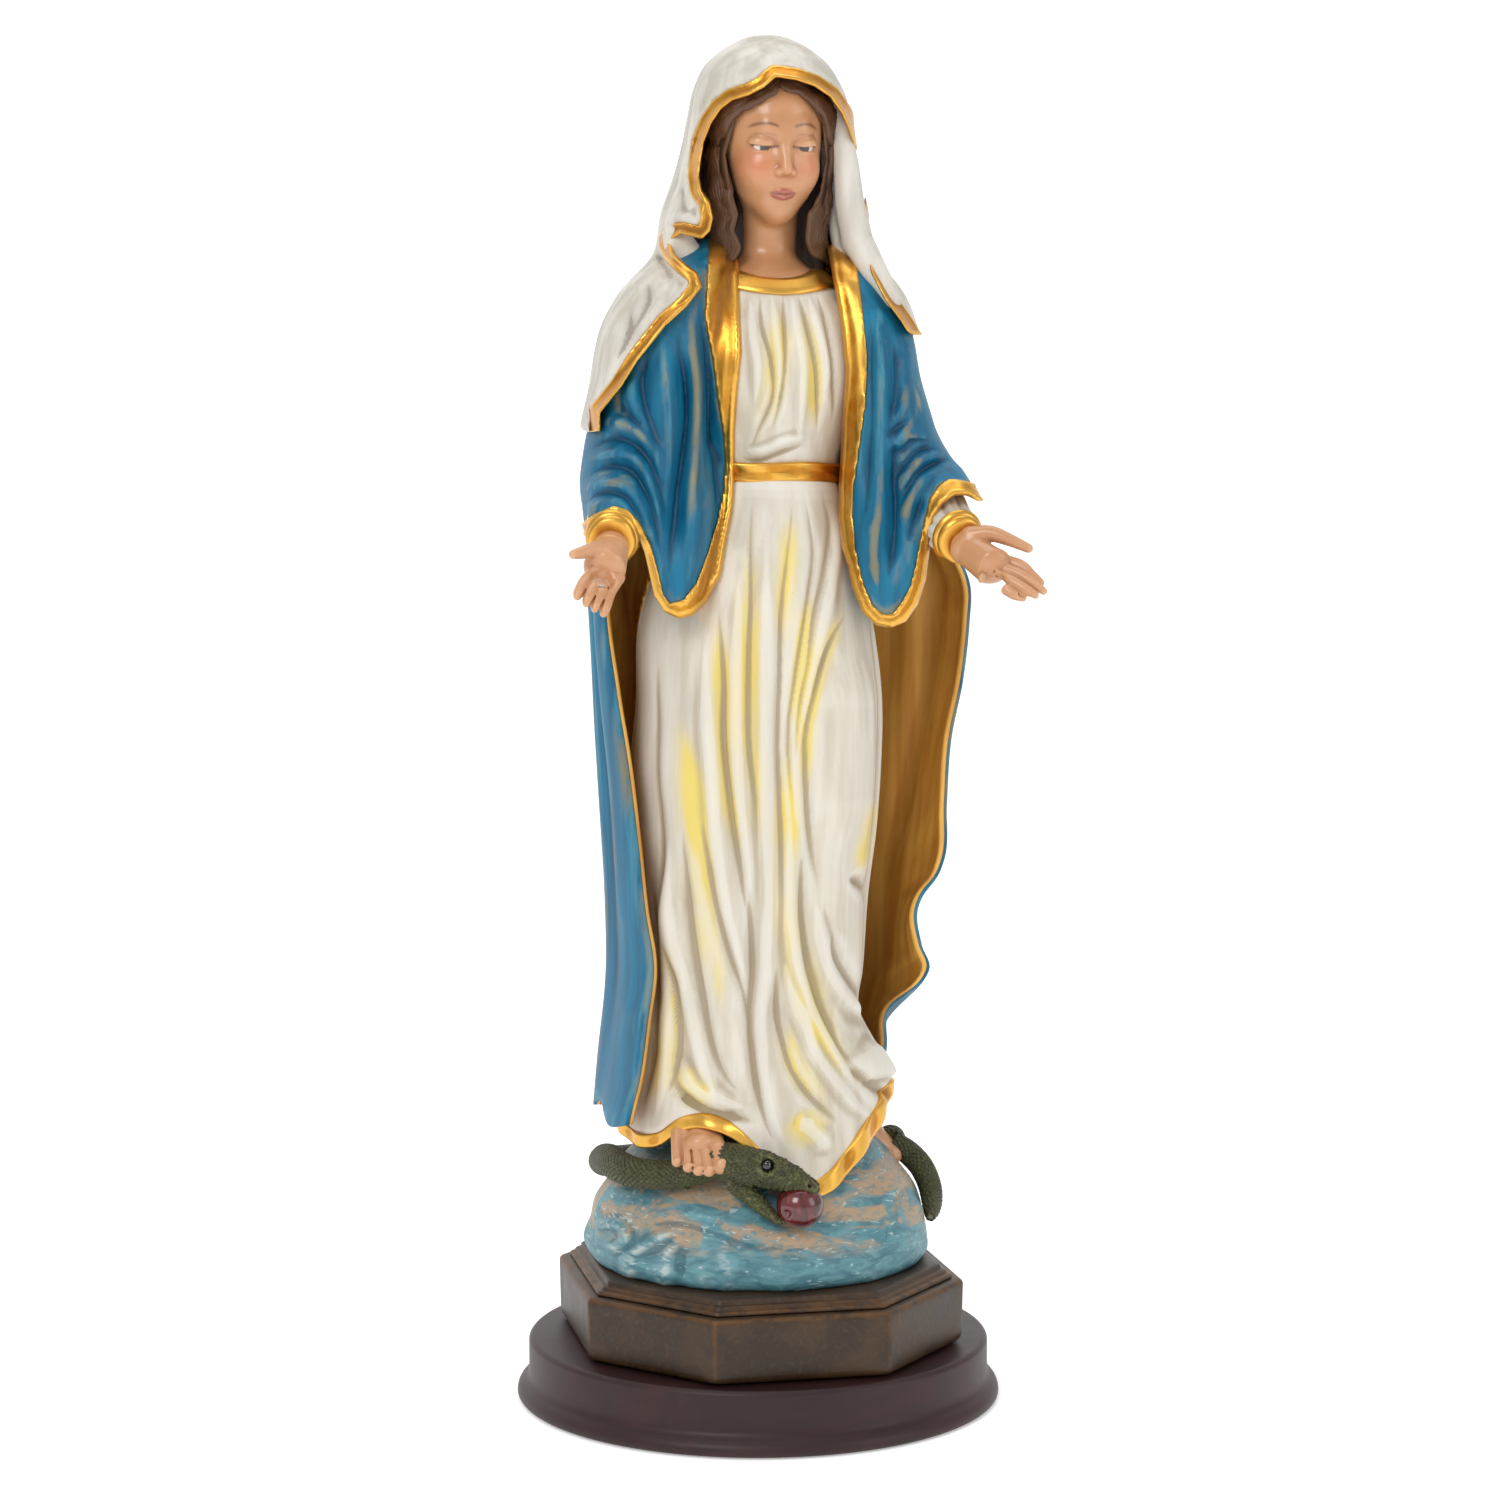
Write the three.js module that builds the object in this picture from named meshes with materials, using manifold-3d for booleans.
// A standing Madonna on a globe with a serpent, over an octagonal plinth and a turned wooden base.
// Millimetres, +Z up. The figure faces -Y, and the origin is the centre of the base's underside.
// A bearing is an angle round the vertical: 0 is the front (-Y) and +90 is the viewer's right (+X).
import * as THREE from 'three';
import { mergeVertices } from 'three/addons/utils/BufferGeometryUtils.js';
import Module from 'manifold-3d';

const wasm = await Module();
wasm.setup();

// Fits
const GAP = 0.3;
const TRIM_FIT = 0.5;
const BORE_CLEARANCE = 0.4;

// Base, plinth and globe
const GLOBE_RADIUS = 77;
const GLOBE_RISE = 70;
const GLOBE_WAVES = 7;
const WAVE_HEIGHT = 1.6;
const PLINTH_LEDGE = 7;
const PLINTH_EXTRA_DEPTH = 8;
const PLINTH_HEIGHT = 28.5;
const PLINTH_EASE = 2;
const STEP_RISE = 3;
const STEP_INSET = 4.5;
const CORNER_SHARE = 0.545;
const BASE_LEDGE = 3.1;
const BASE_HEIGHT = 27.7;
const FLANGE_HEIGHT = 8;
const FLANGE_LIP = 5.2;
const FELT_THICKNESS = 2;
const FELT_PROUD = 0.5;
const FELT_MARGIN = 8;

// Fasteners and dowels
const SCREW_SPREAD = 45;
const SCREW_RADIUS = 2.2;
const SCREW_HEAD_RADIUS = 4.6;
const SCREW_HEAD_HEIGHT = 3.4;
const SCREW_LENGTH = 34;
const SCREW_HEAD_SINK = 0.2;
const ROD_RADIUS = 5;
const ROD_LENGTH = 250;
const NUT_RADIUS = 9.5;
const NUT_HEIGHT = 6.5;
const WASHER_RADIUS = 13;
const WASHER_HEIGHT = 1.8;
const NECK_DOWEL_RADIUS = 4;
const WRIST_DOWEL_RADIUS = 2;

// Figure: drawn at these sizes, overall height and breadth across the upper arms
const DRAWN_HEIGHT = 502;
const DRAWN_BREADTH = 153;
const FIGURE_HEIGHT = 502;
const FIGURE_BREADTH = 153;
const STAND_HEIGHT = 38;
const MANTLE_WALL = 3;
const LINING_WALL = 2.2;
const VEIL_WALL = 3.6;
const TRIM_THICKNESS = 1.6;
const TRIM_SEAT = 1;
const VEIL_TRIM_WIDTH = 4.6;
const DRAPE_TRIM_WIDTH = 6;
const HEM_TRIM_WIDTH = 6.5;
const BELT_HEIGHT = 7.5;
const COLLAR_HEIGHT = 8;
const MANTLE_TOP = 385;
const MANTLE_FIRST_LEVEL = 40;
const LINING_TOP = 260;
const LAPEL_TOP = 396;
const VEIL_FLOOR = 330;
const NECK_DOWEL_LOW = 350;
const NECK_DOWEL_HIGH = 400;
const SLEEVE_RADIUS = 9.5;
const WRIST_RADIUS = 6.4;
const CUFF_WIDTH = 3;
const SNAKE_RADIUS = 7.5;
const APPLE_RADIUS = 9.8;

// Levels worked out from the sizes above
const PLINTH_BOTTOM = BASE_HEIGHT + GAP;
const PLINTH_TOP = PLINTH_BOTTOM + PLINTH_HEIGHT;
const CAP_BOTTOM = PLINTH_TOP + GAP;
const GLOBE_BOTTOM = CAP_BOTTOM + 2 * STEP_RISE + GAP;
const STAND_LEVEL = GLOBE_BOTTOM + STAND_HEIGHT;
const PLINTH_HALF_WIDTH = GLOBE_RADIUS + PLINTH_LEDGE;
const PLINTH_HALF_DEPTH = PLINTH_HALF_WIDTH + PLINTH_EXTRA_DEPTH;
const PLINTH_REACH = Math.hypot(PLINTH_HALF_WIDTH * (1 - CORNER_SHARE), PLINTH_HALF_DEPTH);
const BASE_TOP_RADIUS = PLINTH_REACH + BASE_LEDGE;
const BASE_RADIUS = BASE_TOP_RADIUS + FLANGE_LIP;
const FELT_RADIUS = BASE_RADIUS - FELT_MARGIN;
const ROD_BOTTOM = PLINTH_BOTTOM + 2;
const WIDE = FIGURE_BREADTH / DRAWN_BREADTH;
const TALL = FIGURE_HEIGHT / DRAWN_HEIGHT;

// Geometry helpers

const radians = THREE.MathUtils.degToRad;

function drawn(x, y, height) {
  return new THREE.Vector3(x * WIDE, y * WIDE, STAND_LEVEL + height * TALL);
}

function solidOf(geometry) {
  const bare = geometry.index ? geometry.clone() : geometry;
  bare.deleteAttribute('normal');
  bare.deleteAttribute('uv');
  const merged = mergeVertices(bare, 1e-4);
  const corners = merged.index.array;
  const positions = merged.attributes.position;
  const faces = [];
  let volume = 0;
  for (let i = 0; i < corners.length; i += 3) {
    const [a, b, c] = [corners[i], corners[i + 1], corners[i + 2]];
    if (a === b || b === c || a === c) continue;
    faces.push(a, b, c);
    const [p, q, r] = [a, b, c].map((k) => new THREE.Vector3().fromBufferAttribute(positions, k));
    volume += p.dot(q.cross(r));
  }
  if (volume < 0) faces.reverse();
  const mesh = new wasm.Mesh({
    numProp: 3,
    vertProperties: new Float32Array(positions.array),
    triVerts: new Uint32Array(faces),
  });
  return new wasm.Manifold(mesh);
}

// Joins rows of points into one closed skin. The rows are rings; the ends are closed by a fan to the
// middle, or by a strip where a ring is a thin wall, or the last row meets the first. An arched skin
// lifts the middle of its first fan to the highest point of that ring.
function skin(rows, ends = 'fan', arched = false) {
  const across = rows[0].length;
  const points = rows.flat();
  const index = [];
  const spans = ends === 'joined' ? rows.length : rows.length - 1;
  for (let row = 0; row < spans; row += 1) {
    const here = row * across;
    const next = ((row + 1) % rows.length) * across;
    for (let k = 0; k < across; k += 1) {
      const step = (k + 1) % across;
      index.push(here + k, here + step, next + step, here + k, next + step, next + k);
    }
  }
  const last = (rows.length - 1) * across;
  if (ends === 'fan') {
    for (const [start, row, flip] of [[0, rows[0], true], [last, rows.at(-1), false]]) {
      const middle = points.length;
      const centre = row.reduce((sum, p) => sum.add(p), new THREE.Vector3()).divideScalar(across);
      if (arched && flip) centre.z = Math.max(...row.map((p) => p.z));
      points.push(centre);
      for (let k = 0; k < across; k += 1) {
        const pair = [start + k, start + ((k + 1) % across)];
        if (flip) pair.reverse();
        index.push(pair[0], pair[1], middle);
      }
    }
  }
  if (ends === 'strip') {
    for (let k = 0; k < across / 2 - 1; k += 1) {
      const far = across - 1 - k;
      index.push(far, k + 1, k, far, far - 1, k + 1);
      index.push(last + far, last + k, last + k + 1, last + far, last + k + 1, last + far - 1);
    }
  }
  const geometry = new THREE.BufferGeometry();
  geometry.setAttribute('position', new THREE.Float32BufferAttribute(points.flatMap((p) => p.toArray()), 3));
  geometry.setIndex(index);
  return solidOf(geometry);
}

// A body whose level sections are ellipses: each station is [height, middle x, middle y, half width,
// half depth]. low(bearing) may shape its lower edge, and folds ripple its surface.
class Form {
  constructor(stations, options = {}) {
    this.stations = stations;
    this.sides = options.sides ?? 28;
    this.rings = options.rings ?? 10;
    this.folds = options.folds ?? [];
    this.bottom = stations[0][0];
    this.top = stations.at(-1)[0];
    this.low = options.low ?? (() => this.bottom);
    const heights = stations.map((station) => station[0]);
    const sizes = stations.flatMap((station) => station.slice(1));
    this.track = new THREE.CubicInterpolant(heights, sizes, 4);
  }

  point(bearing, height, grow = 0) {
    const [x, y, halfWidth, halfDepth] = this.track.evaluate(height);
    const turn = radians(bearing);
    const ripple = this.folds.reduce((sum, fold) => sum + fold(bearing, height), 0);
    const across = Math.sin(turn);
    const along = -Math.cos(turn);
    const place = drawn(x + (halfWidth + ripple) * across, y + (halfDepth + ripple) * along, height);
    return place.add(new THREE.Vector3(across * grow, along * grow, 0));
  }

  solid(grow = 0) {
    const rows = [];
    for (let ring = 0; ring <= this.rings; ring += 1) {
      const share = ring / this.rings;
      const row = [];
      for (let side = 0; side < this.sides; side += 1) {
        const bearing = (360 * side) / this.sides - 180;
        const height = THREE.MathUtils.lerp(this.low(bearing), this.top, share);
        const point = this.point(bearing, height, grow);
        point.z += grow * (2 * share - 1);
        row.push(point);
      }
      rows.push(row);
    }
    return skin(rows, 'fan', true);
  }

  // A wall on this form's surface between two offsets, from one bearing to another. Its rows lie at
  // even shares of its height, or at the given levels above its lower edge.
  wall({ from, to, low, high, inner, outer, sides = 24, rings = 12, levels = null }) {
    const rows = [];
    const last = levels ? levels.length : rings;
    for (let ring = 0; ring <= last; ring += 1) {
      const outside = [];
      const inside = [];
      for (let side = 0; side <= sides; side += 1) {
        const bearing = THREE.MathUtils.lerp(from, to, side / sides);
        const even = THREE.MathUtils.lerp(low(bearing), high(bearing), ring / last);
        const height = levels && ring > 0 ? levels[ring - 1] : even;
        outside.push(this.point(bearing, height, outer));
        inside.push(this.point(bearing, height, inner));
      }
      rows.push([...outside, ...inside.reverse()]);
    }
    return skin(rows, 'strip');
  }

  // A band that runs right round the form
  band({ low, high, inner, outer, sides = 40 }) {
    const rows = [];
    for (let side = 0; side < sides; side += 1) {
      const bearing = (360 * side) / sides - 180;
      rows.push([
        this.point(bearing, low(bearing), inner),
        this.point(bearing, low(bearing), outer),
        this.point(bearing, high(bearing), outer),
        this.point(bearing, high(bearing), inner),
      ]);
    }
    return skin(rows, 'joined');
  }
}

// A round bar along a smooth line, with its own radius at each point: [point, radius]
function bar(stops, { grow = 0, sides = 8, steps = 10, flat = 1 } = {}) {
  const curve = new THREE.CatmullRomCurve3(stops.map((stop) => stop[0]));
  const radii = new THREE.LinearInterpolant(stops.map((_, k) => k), stops.map((stop) => stop[1]), 1);
  const frames = curve.computeFrenetFrames(steps);
  const rows = [];
  for (let step = 0; step <= steps; step += 1) {
    const share = curve.getUtoTmapping(step / steps);
    const centre = curve.getPoint(share);
    const radius = radii.evaluate(share * (stops.length - 1))[0] + grow;
    if (step === 0) centre.addScaledVector(frames.tangents[step], -grow);
    if (step === steps) centre.addScaledVector(frames.tangents[step], grow);
    const row = [];
    for (let side = 0; side < sides; side += 1) {
      const turn = (2 * Math.PI * side) / sides;
      const point = centre.clone();
      point.addScaledVector(frames.normals[step], Math.cos(turn) * radius);
      point.addScaledVector(frames.binormals[step], Math.sin(turn) * radius * flat);
      row.push(point);
    }
    rows.push(row);
  }
  return skin(rows);
}

function ball(centre, radii, grow = 0, sides = 12) {
  const geometry = new THREE.SphereGeometry(1, sides, Math.round(sides * 0.6));
  geometry.scale(radii[0] + grow, radii[1] + grow, radii[2] + grow);
  geometry.translate(centre.x, centre.y, centre.z);
  return solidOf(geometry);
}

function turned(profile, segments = 48) {
  const geometry = new THREE.LatheGeometry(profile.map(([r, z]) => new THREE.Vector2(r, z)), segments);
  geometry.rotateX(Math.PI / 2);
  return solidOf(geometry);
}

function pin(radius, low, high, x = 0, y = 0, segments = 16) {
  const geometry = new THREE.CylinderGeometry(radius, radius, high - low, segments);
  geometry.rotateX(Math.PI / 2);
  geometry.translate(x, y, (low + high) / 2);
  return solidOf(geometry);
}

function carve(solid, cutters) {
  return cutters.reduce((left, cutter) => left.subtract(cutter), solid);
}

function join(solids) {
  return solids.reduce((sum, solid) => sum.add(solid));
}

function octagon(halfWidth, halfDepth, low, high, ease = 0) {
  const cutX = halfWidth * (1 - CORNER_SHARE);
  const cutY = halfDepth * (1 - CORNER_SHARE);
  const row = (inset, z) => [
    [halfWidth - inset, -cutY], [halfWidth - inset, cutY], [cutX, halfDepth - inset],
    [-cutX, halfDepth - inset], [inset - halfWidth, cutY], [inset - halfWidth, -cutY],
    [-cutX, inset - halfDepth], [cutX, inset - halfDepth],
  ].map(([x, y]) => new THREE.Vector3(x, y, z));
  const rows = [row(0, low + ease), row(0, high)];
  if (ease > 0) rows.unshift(row(ease, low));
  return skin(rows);
}

// Base: felt, turned wood, screws

const SCREW_HEAD_BOTTOM = FELT_THICKNESS + GAP + SCREW_HEAD_SINK;
const screwAt = [-SCREW_SPREAD, SCREW_SPREAD];

function felt(grow = 0) {
  return pin(FELT_RADIUS + grow, -grow, FELT_THICKNESS + grow, 0, 0, 48);
}

function screw(x, grow = 0) {
  const headTop = SCREW_HEAD_BOTTOM + SCREW_HEAD_HEIGHT;
  const tip = SCREW_HEAD_BOTTOM + SCREW_LENGTH;
  const head = pin(SCREW_HEAD_RADIUS + grow, SCREW_HEAD_BOTTOM - grow, headTop + grow, x);
  return head.add(pin(SCREW_RADIUS + grow, headTop - 1, tip + grow, x));
}

function woodenBase() {
  const profile = [[0, FELT_PROUD], [BASE_RADIUS - 1, FELT_PROUD], [BASE_RADIUS, FELT_PROUD + 1]];
  const steps = 4;
  profile.push([BASE_RADIUS, FLANGE_HEIGHT * 0.45]);
  for (let step = 1; step <= steps; step += 1) {
    const turn = (Math.PI / 2) * (step / steps);
    const height = FLANGE_HEIGHT * (0.45 + 0.55 * Math.sin(turn));
    profile.push([BASE_TOP_RADIUS + FLANGE_LIP * Math.cos(turn), height]);
  }
  profile.push([BASE_TOP_RADIUS, BASE_HEIGHT - 1], [BASE_TOP_RADIUS - 1, BASE_HEIGHT], [0, BASE_HEIGHT]);
  return turned(profile, 40);
}

// Plinth, cap and the rod that ties them to the figure

const ROD_TOP = ROD_BOTTOM + ROD_LENGTH;
const NUT_BOTTOM = ROD_BOTTOM + 2;
const WASHER_BOTTOM = NUT_BOTTOM + NUT_HEIGHT + GAP;
const WASHER_TOP = WASHER_BOTTOM + WASHER_HEIGHT;

function rod(grow = 0) {
  return pin(ROD_RADIUS + grow, ROD_BOTTOM - grow, ROD_TOP + grow);
}

function nutPocket() {
  return pin(WASHER_RADIUS + BORE_CLEARANCE, PLINTH_BOTTOM - 1, WASHER_TOP + GAP);
}

function plinth() {
  const block = octagon(PLINTH_HALF_WIDTH, PLINTH_HALF_DEPTH, PLINTH_BOTTOM, PLINTH_TOP, PLINTH_EASE);
  return block.subtract(nutPocket());
}

function plinthCap() {
  const steps = [1, 2].map((step) => {
    const inset = step * STEP_INSET;
    const top = CAP_BOTTOM + step * STEP_RISE;
    return octagon(PLINTH_HALF_WIDTH - inset, PLINTH_HALF_DEPTH - inset, CAP_BOTTOM, top);
  });
  return join(steps);
}

function nut() {
  return pin(NUT_RADIUS, NUT_BOTTOM, NUT_BOTTOM + NUT_HEIGHT, 0, 0, 6).subtract(rod(BORE_CLEARANCE));
}

function washer() {
  return pin(WASHER_RADIUS, WASHER_BOTTOM, WASHER_TOP).subtract(rod(BORE_CLEARANCE));
}

// Globe

function globeReach(height) {
  return GLOBE_RADIUS * Math.sqrt(Math.max(0, 1 - (height / GLOBE_RISE) ** 2));
}

function onGlobe(bearing, height, standoff) {
  const reach = globeReach(height) + standoff;
  const turn = radians(bearing);
  return new THREE.Vector3(Math.sin(turn) * reach, -Math.cos(turn) * reach, GLOBE_BOTTOM + height);
}

function globe(grow = 0) {
  const rows = [];
  const levels = 7;
  const sides = 35;
  for (let level = 0; level < levels; level += 1) {
    const climb = (Math.PI / 2) * (level / levels);
    const height = GLOBE_RISE * Math.sin(climb);
    const fade = Math.cos(climb) ** 6;
    const row = [];
    for (let side = 0; side < sides; side += 1) {
      const bearing = (360 * side) / sides;
      const wave = fade * WAVE_HEIGHT * Math.sin(radians(bearing * GLOBE_WAVES));
      const point = onGlobe(bearing, height, wave + grow);
      point.z += grow * (level / levels);
      row.push(point);
    }
    rows.push(row);
  }
  rows.push(rows.at(-1).map(() => new THREE.Vector3(0, 0, GLOBE_BOTTOM + GLOBE_RISE + grow)));
  return skin(rows);
}

// Serpent and apple: bearing, height and stand-off on the globe

const NECK_ROUTE = [[-44, 46, 8], [-32, 57, 10], [-20, 58, 14], [-12, 52, 14]];
const SNAKE_ROUTE = [
  [-44, 46, 8], [-60, 45, 9], [-82, 45, 8], [-104, 40, 8], [-130, 34, 8], [-165, 30, 8],
  [160, 30, 8], [130, 33, 8], [108, 40, 7], [96, 46, 7],
];
const TAIL_ROUTE = [[96, 46, 7], [89, 38, 6.5], [85, 30, 7], [80, 24, 6], [74, 18, 4]];

function snakeNeck(grow = 0) {
  const radii = [1, 1.06, 1.15, 1.3];
  const stops = NECK_ROUTE.map((stop, k) => [onGlobe(...stop), SNAKE_RADIUS * radii[k]]);
  return bar(stops, { grow, sides: 10, steps: 6 });
}

function snakeHead(grow = 0) {
  const stops = [
    [onGlobe(-12, 52, 14), SNAKE_RADIUS * 1.3],
    [onGlobe(-6, 49, 13), SNAKE_RADIUS * 1.35],
    [onGlobe(2, 46, 12), SNAKE_RADIUS * 1.0],
    [onGlobe(7, 43, 12), SNAKE_RADIUS * 0.6],
  ];
  return bar(stops, { grow, sides: 10, steps: 6, flat: 0.8 });
}

function snakeJaw(grow = 0) {
  const stops = [
    [onGlobe(-13, 44, 12), SNAKE_RADIUS * 0.9],
    [onGlobe(-9, 36, 10), SNAKE_RADIUS * 0.75],
    [onGlobe(-4, 30, 9), SNAKE_RADIUS * 0.4],
  ];
  return bar(stops, { grow, sides: 10, steps: 6, flat: 0.7 });
}

function snakeBody(grow = 0) {
  const stops = SNAKE_ROUTE.map((stop) => [onGlobe(...stop), SNAKE_RADIUS]);
  return bar(stops, { grow, sides: 8, steps: 22 });
}

function snakeTail(grow = 0) {
  const radii = [0.75, 0.8, 0.75, 0.6, 0.2];
  const stops = TAIL_ROUTE.map((stop, k) => [onGlobe(...stop), SNAKE_RADIUS * radii[k]]);
  return bar(stops, { grow, sides: 8, steps: 8 });
}

function apple(grow = 0) {
  return ball(onGlobe(1, 38, APPLE_RADIUS + 1), [APPLE_RADIUS, APPLE_RADIUS, APPLE_RADIUS * 0.94], grow);
}

// Dress

const hemHeight = (bearing) => 27 - 27 * Math.exp(-(((bearing - 11) / 17) ** 2));

const skirtForm = new Form([
  [0, 0, -2, 63, 68], [28, -3, -3, 61, 60], [60, -6, -4, 53, 52], [90, -4, -4, 50, 49],
  [125, -3, -4, 50, 48], [150, -2, -4, 53, 48], [180, -3, -4, 54, 47], [212, -1, -4, 54, 45],
  [245, 0, -3, 52, 42], [280, 2, -2, 42, 35], [306, 4, -1, 32, 29],
], {
  sides: 36,
  rings: 9,
  low: hemHeight,
  folds: [
    (bearing, height) => 1.9 * Math.cos(radians(11 * bearing + height * 0.5)) * (1 - height / 320),
    (bearing, height) => 1.1 * Math.cos(radians(23 * bearing - height * 0.3)) * (1 - height / 320),
  ],
});

const bodiceForm = new Form([
  [306, 4, -1, 31, 28], [318, 4, -2, 33, 30], [335, 4, -3, 38, 34], [360, 4, -4, 42, 36],
  [380, 4, -2, 41, 31], [392, 4, 0, 33, 25], [400, 4, 0, 20, 20],
], {
  sides: 22,
  rings: 6,
  folds: [(bearing, height) => 0.8 * Math.cos(radians(17 * bearing)) * Math.max(0, 1 - (height - 306) / 90)],
});

const WAIST = 306;
const BELT_LOW = WAIST + 1;
const COLLAR_LOW = 391;

function bodiceRing(low, height, grow = 0) {
  return bodiceForm.band({
    low: () => low - grow,
    high: () => low + height + grow,
    inner: -grow,
    outer: GAP + TRIM_THICKNESS + grow,
    sides: bodiceForm.sides,
  });
}

// Feet: the right one treads on the serpent, the left one shows its heel

const feet = {
  right: [[drawn(-22, -22, 30), 9], [drawn(-32, -42, 27), 9], [onGlobe(-43, 57, 12), 8]],
  left: [[drawn(36, 4, 22), 9], [drawn(50, 4, 14), 8], [onGlobe(100, 42, 6), 5]],
};

function foot(side, grow = 0) {
  const sole = bar(feet[side], { grow, sides: 8, steps: 4, flat: 0.8 });
  if (side === 'left') return sole;
  const tip = feet[side].at(-1)[0];
  const toes = [-2, -1, 0, 1, 2].map((toe) => {
    const root = tip.clone().add(new THREE.Vector3(toe * 3.6, 2, 0));
    const end = tip.clone().add(new THREE.Vector3(toe * 3.6, -8.5 + 0.5 * Math.abs(toe), -5));
    return bar([[root, 2.8], [end, 2.2]], { grow, sides: 6, steps: 1 });
  });
  return join([sole, ...toes]);
}

function hemTrim(grow = 0) {
  return skirtForm.band({
    low: (bearing) => hemHeight(bearing) - grow,
    high: (bearing) => hemHeight(bearing) + HEM_TRIM_WIDTH + grow,
    inner: -grow,
    outer: GAP + TRIM_THICKNESS + grow,
    sides: skirtForm.sides,
  });
}

// Mantle: the back cloak, its lining and the two front drapes

const mantleForm = new Form([
  [10, 0, 12, 73, 62], [50, -2, 12, 68, 60], [90, 5, 12, 71, 58], [120, 6, 12, 72, 57],
  [162, 10, 11, 78, 57], [200, 12, 10, 82, 56], [245, 14, 8, 86, 55], [260, 14, 6, 87, 54],
  [300, 3, 5, 80, 50], [330, 1, 5, 68, 46], [360, 2, 5, 62, 42], [385, 3, 5, 46, 34], [398, 3, 5, 30, 24],
], {
  folds: [(bearing, height) => 1.8 * Math.cos(radians(13 * bearing + height * 0.4))],
});

const FRONT_EDGE = 80;
const mantleLow = (bearing) => 14 + 6 * Math.abs(Math.sin(radians(bearing)));

function mantleWall(inner, outer, top, grow = 0) {
  const turn = FRONT_EDGE - grow;
  const heights = mantleForm.stations.map((station) => station[0]);
  const levels = heights.filter((level) => level > MANTLE_FIRST_LEVEL && level <= top);
  levels[levels.length - 1] += grow;
  return mantleForm.wall({
    from: turn,
    to: 360 - turn,
    low: (bearing) => mantleLow(bearing) - grow,
    high: () => top,
    inner: -inner - grow,
    outer: -outer + grow,
    sides: 18,
    levels,
  });
}

function mantleBack(grow = 0) {
  return mantleWall(MANTLE_WALL, 0, MANTLE_TOP, grow);
}

function mantleLining(grow = 0) {
  return mantleWall(MANTLE_WALL + GAP + LINING_WALL, MANTLE_WALL, LINING_TOP, grow);
}

const rightDrapeLow = (bearing) => 299 - 49 * Math.exp(-(((bearing - 13) / 25) ** 2));
const leftDrapeLow = (bearing) => 303 - 60 * Math.exp(-(((bearing + 13) / 25) ** 2));

const DEGREES_PER_MM = 2;
const drapeFolds = [(bearing) => 0.9 * Math.cos(radians(9 * bearing))];

const drapes = {
  right: new Form([
    [240, -50, -22, 26, 30], [262, -51, -20, 27, 32], [300, -52, -16, 29, 35], [320, -51, -13, 28, 36],
    [350, -48, -11, 24, 35], [380, -42, -9, 23, 30], [394, -36, -8, 17, 24], [402, -30, -6, 8, 14],
  ], { low: rightDrapeLow, folds: drapeFolds, sides: 24, rings: 7 }),
  left: new Form([
    [232, 44, -20, 24, 30], [262, 50, -20, 27, 32], [300, 56, -16, 29, 35], [320, 56, -13, 28, 36],
    [350, 54, -11, 24, 35], [380, 49, -9, 23, 30], [394, 43, -8, 17, 24], [402, 37, -6, 8, 14],
  ], { low: leftDrapeLow, folds: drapeFolds, sides: 24, rings: 7 }),
};

const sideSign = { right: -1, left: 1 };

function drapeTrim(side, grow = 0) {
  const form = drapes[side];
  const ends = side === 'right' ? [-90, 60] : [-60, 90];
  return form.wall({
    from: ends[0] - DEGREES_PER_MM * grow,
    to: ends[1] + DEGREES_PER_MM * grow,
    low: (bearing) => form.low(bearing) - TRIM_SEAT - grow,
    high: (bearing) => form.low(bearing) + DRAPE_TRIM_WIDTH + grow,
    inner: -TRIM_SEAT - grow,
    outer: TRIM_THICKNESS + grow,
    sides: 10,
    rings: 1,
  });
}

function lapelTrim(side, grow = 0) {
  const form = drapes[side];
  const edges = side === 'right' ? [45, 60] : [-60, -45];
  return form.wall({
    from: edges[0] - DEGREES_PER_MM * grow,
    to: edges[1] + DEGREES_PER_MM * grow,
    low: (bearing) => form.low(bearing) + DRAPE_TRIM_WIDTH + GAP - grow,
    high: () => LAPEL_TOP + grow,
    inner: -TRIM_SEAT - grow,
    outer: TRIM_THICKNESS + grow,
    sides: 1,
    rings: 7,
  });
}

// Arms: under-sleeves, cuffs, hands and their dowels

const arms = {
  right: { elbow: drawn(-62, -6, 304), middle: drawn(-70, -34, 288), wrist: drawn(-76, -58, 280) },
  left: { elbow: drawn(70, -6, 306), middle: drawn(76, -34, 290), wrist: drawn(80, -58, 280) },
};
const handTips = {
  right: { palm: drawn(-83, -72, 270), tips: drawn(-85, -90, 257), thumb: drawn(-96, -80, 264) },
  left: { palm: drawn(90, -70, 272), tips: drawn(102, -88, 263), thumb: drawn(101, -76, 279) },
};

function sleeve(side, grow = 0) {
  const arm = arms[side];
  const stops = [
    [arm.elbow, SLEEVE_RADIUS * 1.15], [arm.middle, SLEEVE_RADIUS * 1.05], [arm.wrist, SLEEVE_RADIUS],
  ];
  return bar(stops, { grow, sides: 10, steps: 6 });
}

function alongWrist(side, distance) {
  const arm = arms[side];
  const ahead = arm.wrist.clone().sub(arm.middle).normalize();
  return arm.wrist.clone().addScaledVector(ahead, distance);
}

function wristRing(side, from, to, radius, grow = 0) {
  const stops = [[alongWrist(side, from), radius], [alongWrist(side, to), radius]];
  return bar(stops, { grow, sides: 12, steps: 1 });
}

function cuff(side, order, grow = 0) {
  const start = GAP + order * (CUFF_WIDTH + GAP);
  const ring = wristRing(side, start, start + CUFF_WIDTH, SLEEVE_RADIUS + 1 - order, grow);
  const bore = wristRing(side, start - 2, start + CUFF_WIDTH + 2, WRIST_RADIUS, BORE_CLEARANCE - grow);
  return ring.subtract(bore);
}

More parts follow.
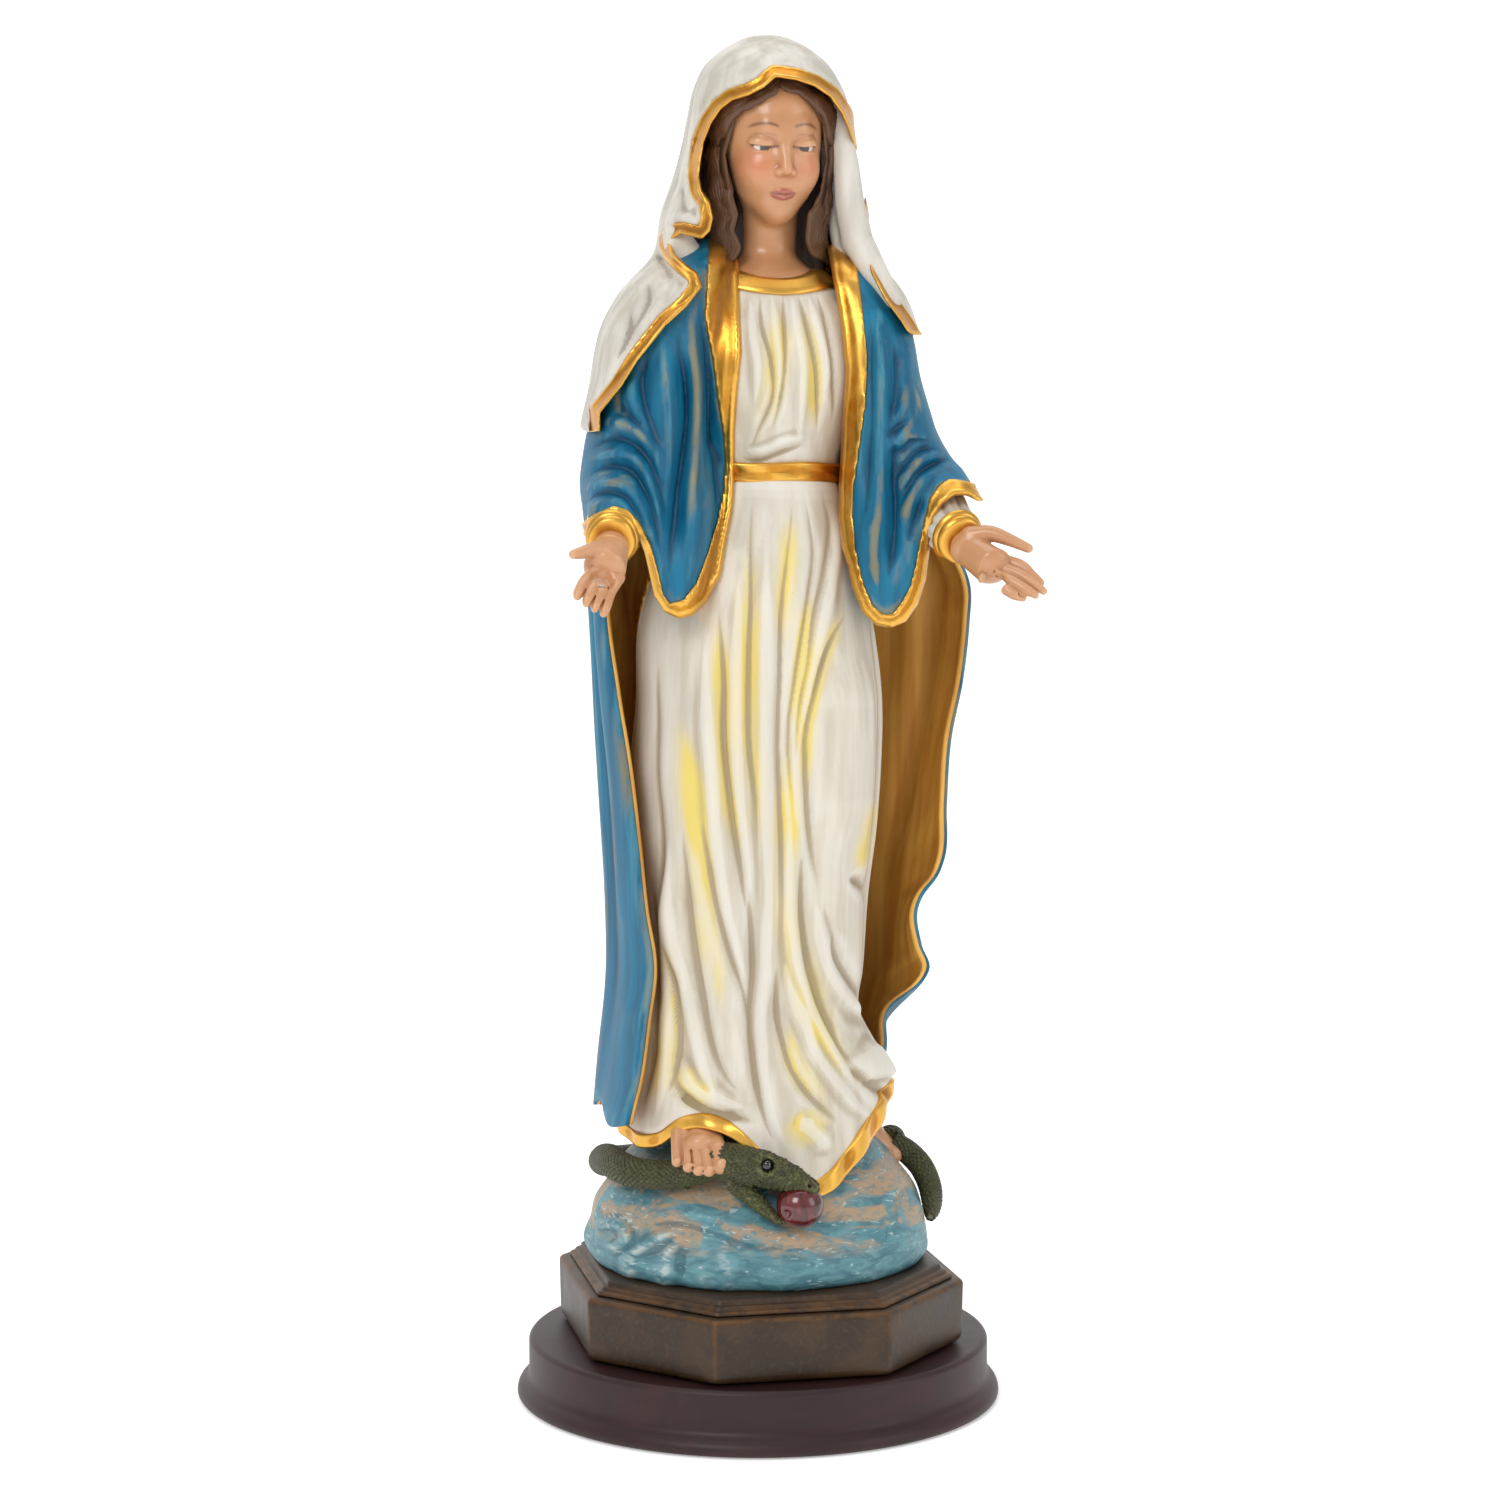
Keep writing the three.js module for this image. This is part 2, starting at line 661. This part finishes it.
function wristDowel(side, grow = 0) {
  return wristRing(side, -14, 6, WRIST_DOWEL_RADIUS, grow);
}

function hand(side, grow = 0) {
  const { palm, tips, thumb } = handTips[side];
  const start = alongWrist(side, GAP);
  const spread = new THREE.Vector3(sideSign[side] * 0.3, 0.35, -0.85).normalize();
  const palmStops = [
    [start, WRIST_RADIUS], [alongWrist(side, 7), WRIST_RADIUS * 0.95], [palm, WRIST_RADIUS * 1.25],
  ];
  const pieces = [bar(palmStops, { grow, sides: 8, steps: 5 })];
  for (const finger of [-1.5, -0.5, 0.5, 1.5]) {
    const root = palm.clone().addScaledVector(spread, finger * 3.2);
    const reach = 1 - 0.12 * Math.abs(finger);
    const tip = palm.clone().lerp(tips, reach).addScaledVector(spread, finger * 3.9);
    const knuckle = root.clone().lerp(tip, 0.55);
    pieces.push(bar([[root, 2.9], [knuckle, 2.6], [tip, 1.8]], { grow, sides: 6, steps: 3 }));
  }
  const thumbRoot = start.clone().lerp(palm, 0.4);
  const thumbKnuckle = thumbRoot.clone().lerp(thumb, 0.6);
  pieces.push(bar([[thumbRoot, 3.2], [thumbKnuckle, 2.9], [thumb, 2]], { grow, sides: 6, steps: 3 }));
  return join(pieces);
}

// Head, hair and veil

const headForm = new Form([
  [376, 4, -3, 15, 14], [396, 4, -4, 13.5, 13], [408, 4, -5, 13, 14], [415, 4, -10, 13, 18],
  [422, 4, -11, 17, 21], [434, 4, -10, 22, 25], [448, 4, -8, 24.5, 28], [461, 4, -6, 25, 29],
  [472, 4, -5, 23, 27], [482, 4, -4, 17, 21], [488, 4, -3, 7, 10],
], { sides: 18, rings: 10 });

const hairForm = new Form([
  [398, 4, -5, 29, 22], [412, 4, -5, 30, 27], [428, 4, -3, 30, 30], [448, 4, -1, 30, 33],
  [465, 4, 0, 29.5, 34], [480, 4, 0, 25, 30], [490, 4, 0, 15, 20], [493.5, 4, 1, 6, 8],
], {
  sides: 20,
  rings: 8,
  folds: [
    (bearing, height) => 0.8 * Math.cos(radians(19 * bearing + height * 2)) * (1 - (height - 398) / 100),
  ],
});

const veilForm = new Form([
  [318, 1, 8, 67, 54], [340, 1, 7, 73, 52], [360, 0, 6, 72, 51], [380, 3, 5, 66.5, 50],
  [395, 5, 5, 57, 48], [407, 3, 5, 47.5, 46], [424, 3, 4, 43, 45], [437, 4, 4, 41, 45],
  [453, 5, 3, 38, 45], [467, 4, 2, 35, 44], [480, 3, 1, 31, 40], [490, 4, 3, 25, 32],
  [497, 4, 4, 16, 21], [501.7, 4, 5, 5, 7],
], { sides: 22, rings: 10 });

const faceOpening = new Form([
  [290, 2, -70, 76, 62], [350, 2, -68, 73, 61], [366, 2, -66, 66, 60], [382, 3, -64, 50, 52],
  [395, 4, -62, 36, 42], [410, 3, -62, 30, 42], [425, 4, -62, 31, 42], [445, 4, -62, 32, 42],
  [458, 4, -62, 29, 40], [468, 4, -62, 22, 36], [476, 4, -62, 10, 30],
], { sides: 16, rings: 8 });

function neckDowel(grow = 0) {
  const low = drawn(4, -3, NECK_DOWEL_LOW);
  const high = drawn(4, -3, NECK_DOWEL_HIGH);
  return pin(NECK_DOWEL_RADIUS + grow, low.z - grow, high.z + grow, low.x, low.y);
}

function head(grow = 0) {
  const skull = headForm.solid(grow);
  const nose = bar([
    [drawn(4, -35, 453), 1.6], [drawn(4, -38, 445), 2.2],
    [drawn(4, -39.5, 438), 3], [drawn(4, -34, 434), 2.4],
  ], { grow, sides: 6, steps: 4 });
  const lips = bar([
    [drawn(-2, -31, 427), 1.2], [drawn(4, -33, 427), 2], [drawn(10, -31, 427), 1.2],
  ], { grow, sides: 6, steps: 3 });
  const chin = ball(drawn(4, -27, 418.5), [5, 4.5, 4.5], grow, 8);
  return join([skull, nose, lips, chin]);
}

function hair(grow = 0) {
  const faceWindow = ball(drawn(4, -48, 434), [21, 38, 36], -grow, 14);
  return hairForm.solid(grow).subtract(faceWindow);
}

function eye(side, grow = 0) {
  return ball(drawn(4 + sideSign[side] * 9.5, -30.5, 448), [4.2, 4.2, 3.4], grow, 8);
}

function veilShell(grow = 0) {
  const floor = drawn(0, 0, VEIL_FLOOR).z - grow;
  const hollow = veilForm.solid(-VEIL_WALL - grow);
  return carve(veilForm.solid(grow), [hollow, pin(2 * GLOBE_RADIUS, floor - 60, floor)]);
}

function veil(grow = 0) {
  return veilShell(grow).subtract(faceOpening.solid(VEIL_TRIM_WIDTH - grow));
}

function veilTrim(grow = 0) {
  const outer = faceOpening.solid(VEIL_TRIM_WIDTH + grow);
  const inner = faceOpening.solid(-grow);
  return veilShell(grow).intersect(outer).subtract(inner);
}

// The finished pieces: each is carved to clear every piece placed before it

const finishes = {
  felt: [0x2b3a2e, 0.95, 0],
  wood: [0x3a1c1f, 0.45, 0],
  steel: [0x9a9c9e, 0.35, 1],
  bronze: [0x4a3626, 0.5, 0.1],
  water: [0x5f9fb0, 0.5, 0],
  scales: [0x3c4222, 0.5, 0],
  fruit: [0x5e1a1e, 0.2, 0],
  cream: [0xe6e0cc, 0.55, 0],
  gold: [0xc8922e, 0.3, 0.9],
  blue: [0x1573a5, 0.5, 0],
  lining: [0xb98525, 0.42, 0.6],
  white: [0xe4e1d8, 0.5, 0],
  skin: [0xcd9b73, 0.35, 0],
  hair: [0x4a3020, 0.5, 0],
  beech: [0xc9a878, 0.6, 0],
};

const placed = [];

function place(name, finish, form, clearance = GAP) {
  const solid = carve(form(0), placed.map((earlier) => earlier.skin));
  placed.push({ name, finish, solid, skin: form(clearance) });
}

place('tie_rod', 'steel', rod, BORE_CLEARANCE);
place('rod_nut', 'steel', nut);
place('rod_washer', 'steel', washer);
screwAt.forEach((x, k) => place(`base_screw_${k + 1}`, 'steel', (grow) => screw(x, grow), BORE_CLEARANCE));
place('felt_pad', 'felt', felt);
place('wooden_base', 'wood', woodenBase);
place('plinth', 'bronze', plinth);
place('plinth_cap', 'bronze', plinthCap);
place('globe', 'water', globe);

place('foot_right', 'skin', (grow) => foot('right', grow));
place('foot_left', 'skin', (grow) => foot('left', grow));
place('apple', 'fruit', apple);
place('snake_head', 'scales', snakeHead);
place('snake_neck', 'scales', snakeNeck);
place('snake_jaw', 'scales', snakeJaw);

place('neck_dowel', 'beech', neckDowel, BORE_CLEARANCE);
for (const side of ['right', 'left']) {
  place(`eye_${side}`, 'white', (grow) => eye(side, grow));
}
place('head', 'skin', head);
place('skirt', 'cream', (grow) => skirtForm.solid(grow));
place('hem_trim', 'gold', hemTrim);
place('snake_body', 'scales', snakeBody);
place('snake_tail', 'scales', snakeTail);
place('bodice', 'cream', (grow) => bodiceForm.solid(grow));
place('belt', 'gold', (grow) => bodiceRing(BELT_LOW, BELT_HEIGHT, grow));
place('collar', 'gold', (grow) => bodiceRing(COLLAR_LOW, COLLAR_HEIGHT, grow));

for (const side of ['right', 'left']) {
  place(`wrist_dowel_${side}`, 'beech', (grow) => wristDowel(side, grow), BORE_CLEARANCE);
  place(`cuff_inner_${side}`, 'gold', (grow) => cuff(side, 0, grow));
  place(`cuff_outer_${side}`, 'gold', (grow) => cuff(side, 1, grow));
  place(`hand_${side}`, 'skin', (grow) => hand(side, grow));
  place(`sleeve_${side}`, 'white', (grow) => sleeve(side, grow));
  place(`drape_trim_${side}`, 'gold', (grow) => drapeTrim(side, grow), TRIM_FIT);
  place(`lapel_trim_${side}`, 'gold', (grow) => lapelTrim(side, grow), TRIM_FIT);
  place(`drape_${side}`, 'blue', (grow) => drapes[side].solid(grow));
}

place('mantle_back', 'blue', mantleBack);
place('mantle_lining', 'lining', mantleLining);
place('hair', 'hair', hair);
place('veil', 'white', veil);
place('veil_trim', 'gold', veilTrim);

function meshOf({ name, finish, solid }) {
  const [color, roughness, metalness] = finishes[finish];
  const { vertProperties, triVerts } = solid.getMesh();
  const geometry = new THREE.BufferGeometry();
  geometry.setAttribute('position', new THREE.BufferAttribute(vertProperties, 3));
  geometry.setIndex(new THREE.BufferAttribute(triVerts, 1));
  geometry.computeVertexNormals();
  const mesh = new THREE.Mesh(geometry, new THREE.MeshStandardMaterial({ color, roughness, metalness }));
  mesh.name = name;
  return mesh;
}

const statue = new THREE.Group();
for (const piece of placed) statue.add(meshOf(piece));

export default statue;
